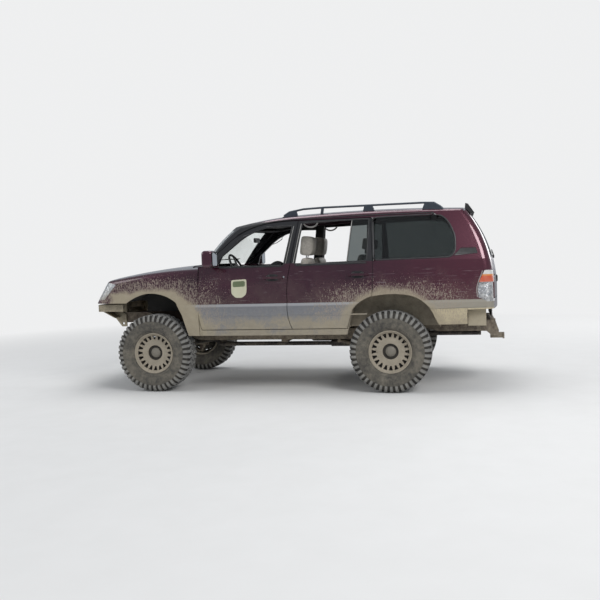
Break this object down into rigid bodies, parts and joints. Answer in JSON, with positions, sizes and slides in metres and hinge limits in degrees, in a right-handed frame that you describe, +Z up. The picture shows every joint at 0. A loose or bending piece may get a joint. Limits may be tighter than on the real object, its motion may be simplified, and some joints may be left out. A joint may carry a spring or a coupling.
{
  "type": "off-road vehicle",
  "caption": "Raised four-wheel-drive wagon with hinged side doors, hood and split tailgate, steered front wheels, turning wheels, roof rails, steel front bar and tow hitch.",
  "frame": {"origin": "on the floor, at the middle of the overall length and width", "axes": "+X towards the front, +Y towards the left side, +Z up"},
  "size_m": [4.98, 2.37, 2.154],
  "materials": {
    "body_paint": "gloss metallic paint, dusty, worn",
    "clear_glass": "clear laminated glass",
    "tinted_glass": "dark tinted glass",
    "lamp_glass": "clear and red lamp lenses, dusty",
    "black_plastic": "black moulded plastic",
    "dusty_liner": "dusty grey-brown",
    "frame_steel": "black chassis paint under mud",
    "bar_steel": "satin black with dried mud",
    "rail_satin": "satin",
    "cast_block": "rough casting",
    "pipe_steel": "dull, stained",
    "seat_cloth": "light cloth",
    "rim_steel": "painted steel under tan dust",
    "tyre": "dusty rubber"
  },
  "bodies": {
    "vehicle": {"body_side_left": "body_paint", "body_side_right": "body_paint", "chassis_rails": "frame_steel", "cowl": "black_plastic", "crossmembers": "frame_steel", "dashboard": "black_plastic", "driveline": "cast_block", "engine": "cast_block", "exhaust": "pipe_steel", "fender_left": "body_paint", "fender_right": "body_paint", "floor": "dusty_liner", "front_arms": "frame_steel", "front_bar": "bar_steel", "front_carrier": "frame_steel", "front_cover": "body_paint", "front_drive": "frame_steel", "front_seats": "seat_cloth", "front_springs": "frame_steel", "front_wheelhouses": "black_plastic", "fuel_tank": "black_plastic", "grille": "black_plastic", "headlamps": "lamp_glass", "hitch": "bar_steel", "quarter_glass": "tinted_glass", "rear_axle": "frame_steel", "rear_links": "frame_steel", "rear_seat": "seat_cloth", "rear_wheelhouses": "dusty_liner", "roof_panel": "body_paint", "roof_rails": "rail_satin", "steering_rack": "frame_steel", "steering_wheel": "black_plastic", "tail_lamps": "lamp_glass", "windscreen": "clear_glass"},
    "door_front_left": {"door_front_left": "body_paint"},
    "door_front_right": {"door_front_right": "body_paint"},
    "door_rear_left": {"door_rear_left": "body_paint", "door_light_left": "tinted_glass"},
    "door_rear_right": {"door_rear_right": "body_paint", "door_light_right": "tinted_glass"},
    "hood": {"hood": "body_paint"},
    "upper_gate": {"gate_upper": "body_paint", "gate_glass": "tinted_glass", "spoiler": "black_plastic"},
    "lower_gate": {"gate_lower": "body_paint"},
    "knuckle_left": {"knuckle_left": "frame_steel"},
    "knuckle_right": {"knuckle_right": "frame_steel"},
    "wheel_front_left": {"rim_front_left": "rim_steel", "tyre_front_left": "tyre"},
    "wheel_front_right": {"rim_front_right": "rim_steel", "tyre_front_right": "tyre"},
    "wheel_rear_left": {"rim_rear_left": "rim_steel", "tyre_rear_left": "tyre"},
    "wheel_rear_right": {"rim_rear_right": "rim_steel", "tyre_rear_right": "tyre"}
  },
  "joints": [
    {"name": "door_front_left_hinge", "type": "hinge", "parent": "vehicle", "child": "door_front_left", "pos_m": [1.073, 0.958, 1], "axis": [0, 0, -1], "range_deg": [0, 65]},
    {"name": "door_rear_left_hinge", "type": "hinge", "parent": "vehicle", "child": "door_rear_left", "pos_m": [-0.022, 0.979, 1], "axis": [0, 0, -1], "range_deg": [0, 68]},
    {"name": "steer_left", "type": "hinge", "parent": "vehicle", "child": "knuckle_left", "pos_m": [1.655, 0.745, 0.466], "axis": [0, 0, 1], "range_deg": [-28, 28]},
    {"name": "wheel_front_left_spin", "type": "hinge", "parent": "knuckle_left", "child": "wheel_front_left", "pos_m": [1.655, 0.845, 0.466], "axis": [0, 1, 0], "continuous": true},
    {"name": "wheel_rear_left_spin", "type": "hinge", "parent": "vehicle", "child": "wheel_rear_left", "pos_m": [-1.195, 0.845, 0.466], "axis": [0, 1, 0], "continuous": true},
    {"name": "door_front_right_hinge", "type": "hinge", "parent": "vehicle", "child": "door_front_right", "pos_m": [1.073, -0.958, 1], "axis": [0, 0, 1], "range_deg": [0, 65]},
    {"name": "door_rear_right_hinge", "type": "hinge", "parent": "vehicle", "child": "door_rear_right", "pos_m": [-0.022, -0.979, 1], "axis": [0, 0, 1], "range_deg": [0, 68]},
    {"name": "steer_right", "type": "hinge", "parent": "vehicle", "child": "knuckle_right", "pos_m": [1.655, -0.745, 0.466], "axis": [0, 0, 1], "range_deg": [-28, 28]},
    {"name": "wheel_front_right_spin", "type": "hinge", "parent": "knuckle_right", "child": "wheel_front_right", "pos_m": [1.655, -0.845, 0.466], "axis": [0, 1, 0], "continuous": true},
    {"name": "wheel_rear_right_spin", "type": "hinge", "parent": "vehicle", "child": "wheel_rear_right", "pos_m": [-1.195, -0.845, 0.466], "axis": [0, 1, 0], "continuous": true},
    {"name": "hood_hinge", "type": "hinge", "parent": "vehicle", "child": "hood", "pos_m": [1.145, 0, 1.46], "axis": [0, -1, 0], "range_deg": [0, 50]},
    {"name": "upper_gate_hinge", "type": "hinge", "parent": "vehicle", "child": "upper_gate", "pos_m": [-2.038, 0, 2.099], "axis": [0, 1, 0], "range_deg": [0, 85]},
    {"name": "lower_gate_hinge", "type": "hinge", "parent": "vehicle", "child": "lower_gate", "pos_m": [-2.415, 0, 1.042], "axis": [0, -1, 0], "range_deg": [0, 90]}
  ],
  "couplings": [
    {"joint": "steer_right", "follows": "steer_left", "ratio": 1}
  ]
}
